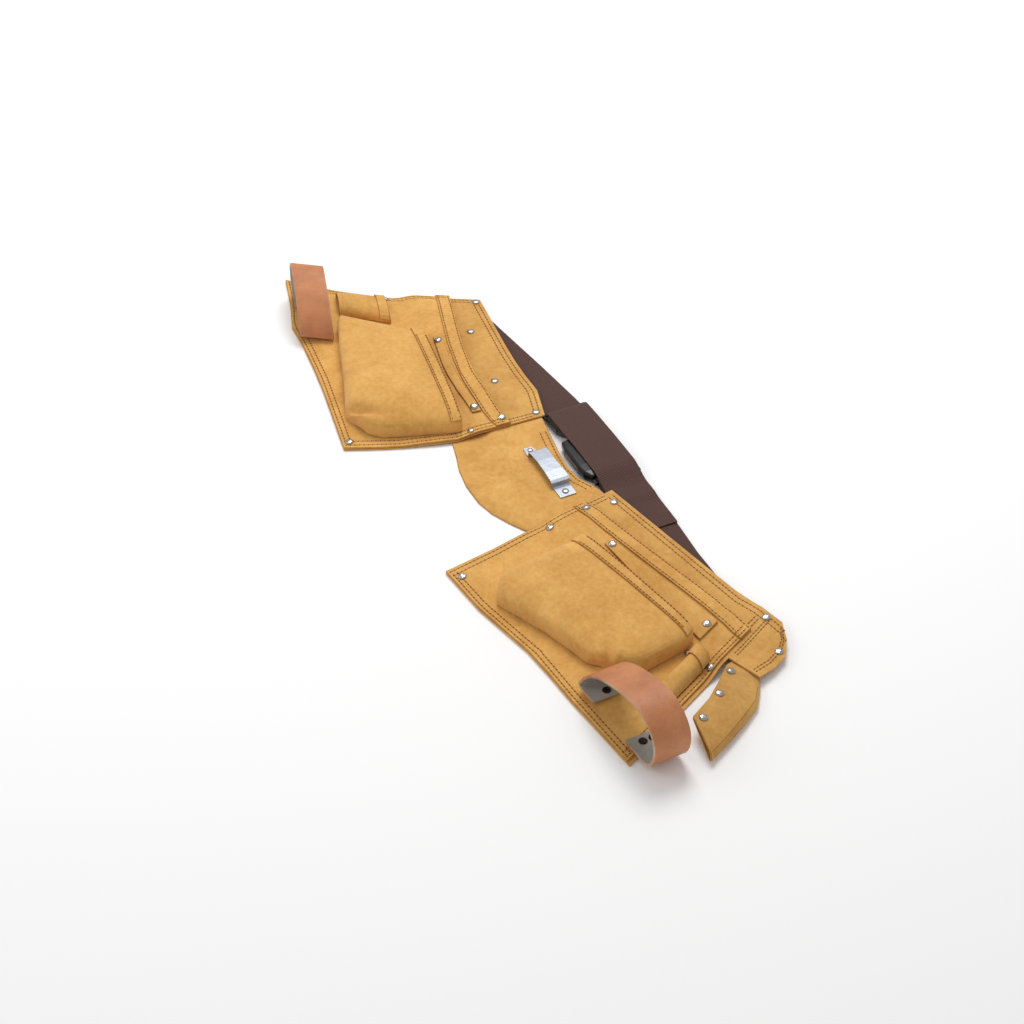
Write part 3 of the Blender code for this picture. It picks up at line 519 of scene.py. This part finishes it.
# Where the rows run, as shares across and down a pouch
seams = {
    "waistDowns": (0.022, 0.048),
    "waistStart": 0.02,
    "hemOffsets": (0.010, 0.064),
    "hemRun": (0.012, 0.988),
    "edgeInsets": (0.014, 0.034),
    "sideRun": (0.05, 0.985),
    "outerInset": 0.9,  # the rows lie a little closer to the outer edge than to the inner one
    "footInset": 1.2,  # and a little farther from the foot
    "footRun": (0.02, 0.98),
    "nailHemLevels": (0.14, 0.86),
    "bandShifts": (0.0, 0.014),
}


def acrossRow(pouch, down, first, last, steps=24):
    shares = np.linspace(first, last, steps)
    return [spot(pouch, share, down(share) if callable(down) else down) for share in shares]


def downRow(pouch, share, first, last, steps=24):
    return [spot(pouch, share, down) for down in np.linspace(first, last, steps)]


def nailHemRow(pouch, level, first=0.05, last=0.95, steps=40):
    hem = np.array(pouch["nail"][0]) * (1 - level) + np.array(pouch["nail"][1]) * level
    shares = np.linspace(first, last, steps)
    return [spot(pouch, *(hem[:2] * (1 - share) + hem[2:] * share)) for share in shares]


def bibRow(level):
    top, bottom = np.array(bibEdge["top"], float), np.array(bibEdge["bottom"], float)
    return list(top * (1 - level) + bottom * level - origin)


def pouchRows(tag, pouch):
    panel, main, hem = f"back_panel_{tag}", f"main_pocket_{tag}", f"main_pocket_hem_{tag}"
    rows = []
    for down in seams["waistDowns"]:
        rows.append(([panel, hem], acrossRow(pouch, down, seams["waistStart"], pouch["waistEnd"])))
    for offset in seams["hemOffsets"]:
        path = acrossRow(pouch, lambda share: lookUp(pouch["mouth"], share) + offset, *seams["hemRun"])
        rows.append(([hem], path))
    for inset in seams["edgeInsets"]:
        for share in (inset, 1 - inset * seams["outerInset"]):
            rows.append(([panel, main, hem], downRow(pouch, share, *seams["sideRun"])))
        rows.append(([main], acrossRow(pouch, 1 - inset * seams["footInset"], *seams["footRun"])))
    for level in seams["nailHemLevels"]:
        rows.append(([f"nail_pocket_hem_{tag}"], nailHemRow(pouch, level)))
    for outline in ("bandEnd", "bandSeam"):
        for shift in seams["bandShifts"]:
            path = [spot(pouch, across - shift, down) for down, across in pouch.get(outline, ())]
            if path:
                rows.append(([panel], path))
    return rows


for tag, pouch in (("a", pouchA), ("b", pouchB)):
    stitching(f"stitching_{tag}", pouchRows(tag, pouch), stitch)
stitching("stitching_bib", [(["bib"], bibRow(level)) for level in bibEdge["rows"]], stitch)


# Stage: white sweep, two softboxes and a white room
stage = {
    "floor": "FFFFFF",
    "wide": 12.0,
    "underMm": 0.4,
    "lights": (  # name, place and width in metres, watts
        ("top softbox", (-0.9, 0.5, 2.0), 1.1, 29.0),
        ("side softbox", (-0.6, -1.9, 1.5), 1.2, 8.0),
    ),
    "room": 0.52,
}


def buildStage(settings):
    mesh = bpy.data.meshes.new("floor")
    bm = bmesh.new()
    bmesh.ops.create_grid(bm, x_segments=1, y_segments=1, size=settings["wide"] / 2)
    bmesh.ops.translate(bm, verts=bm.verts[:], vec=(0.0, 0.0, -settings["underMm"] * mm))
    bm.to_mesh(mesh)
    bm.free()
    mesh.materials.append(plainMaterial("white sweep, matt", settings["floor"], rough=0.9))
    floor = bpy.data.objects.new("floor", mesh)
    bpy.context.scene.collection.objects.link(floor)
    for name, place, size, power in settings["lights"]:
        data = bpy.data.lights.new(name, "AREA")
        data.size = size
        data.energy = power
        lamp = bpy.data.objects.new(name, data)
        lamp.location = place
        lamp.rotation_euler = (-Vector(place)).to_track_quat("-Z", "Y").to_euler()
        bpy.context.scene.collection.objects.link(lamp)
    world = bpy.data.worlds.new("studio white")
    world.use_nodes = True
    background = world.node_tree.nodes["Background"]
    background.inputs["Color"].default_value = (1.0, 1.0, 1.0, 1.0)
    background.inputs["Strength"].default_value = settings["room"]
    bpy.context.scene.world = world
    bpy.context.scene.view_settings.view_transform = "Standard"


# Camera: a long lens, aimed so that the target shows at its own pixel of the square frame
view = {
    "azimuth": 64.2,
    "elevation": 41.0,
    "targetMm": (49.55, -4.35, 0.0),
    "seenAt": (530, 510),
    "framePixels": 1024,
    "focalPixels": 2300.0,
    "mmPerPixel": 1.075,
    "sensorMm": 36.0,
}


def placeCamera(settings):
    azimuth, elevation = math.radians(settings["azimuth"]), math.radians(settings["elevation"])
    frameWide, (column, row) = settings["framePixels"], settings["seenAt"]
    ahead = Vector((
        -math.sin(azimuth) * math.cos(elevation),
        math.cos(azimuth) * math.cos(elevation),
        -math.sin(elevation),
    ))
    right = Vector((math.cos(azimuth), math.sin(azimuth), 0.0))
    data = bpy.data.cameras.new("camera")
    data.sensor_width = settings["sensorMm"]
    data.lens = settings["sensorMm"] * settings["focalPixels"] / frameWide
    data.shift_x = (frameWide / 2 - column) / frameWide
    data.shift_y = (row - frameWide / 2) / frameWide
    data.clip_end = 50.0
    camera = bpy.data.objects.new("camera", data)
    turn = Matrix((right, right.cross(ahead), -ahead)).transposed().to_4x4()
    target = Vector(settings["targetMm"]) * mm
    turn.translation = target - ahead * settings["focalPixels"] * settings["mmPerPixel"] * mm
    camera.matrix_world = turn
    bpy.context.scene.collection.objects.link(camera)
    bpy.context.scene.camera = camera


buildStage(stage)
placeCamera(view)
print("stage and camera placed")
